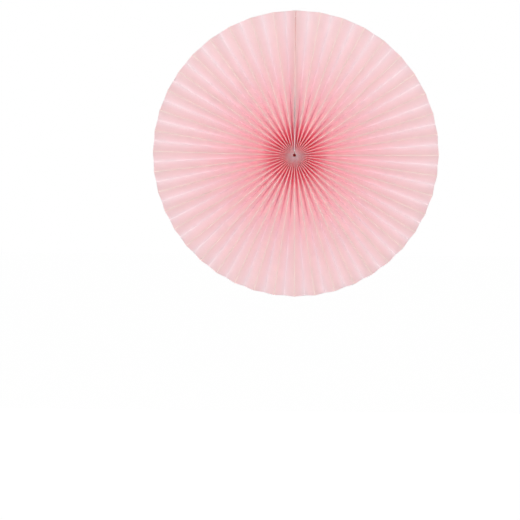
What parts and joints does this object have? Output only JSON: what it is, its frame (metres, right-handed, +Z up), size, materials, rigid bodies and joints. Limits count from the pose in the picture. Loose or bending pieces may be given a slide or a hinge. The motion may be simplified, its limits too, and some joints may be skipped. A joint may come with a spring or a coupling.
{
  "type": "pleated paper fan rosette",
  "caption": "Round wall rosette of accordion-pleated paper, gathered on a string at a small hub and closed by one taped seam.",
  "frame": {"origin": "on the hub's axis, midway between the front folds and the back folds", "axes": "+X to the right as seen from the front, +Y out of the back, +Z up, towards the seam; the front faces -Y"},
  "size_m": [0.4, 0.0252, 0.4],
  "materials": {
    "paper": "matte",
    "tape": "matte",
    "string": "twisted cotton"
  },
  "bodies": {
    "root": {"pleated_paper": "paper", "seam_tape": "tape", "binding_string": "string"}
  },
  "joints": []
}
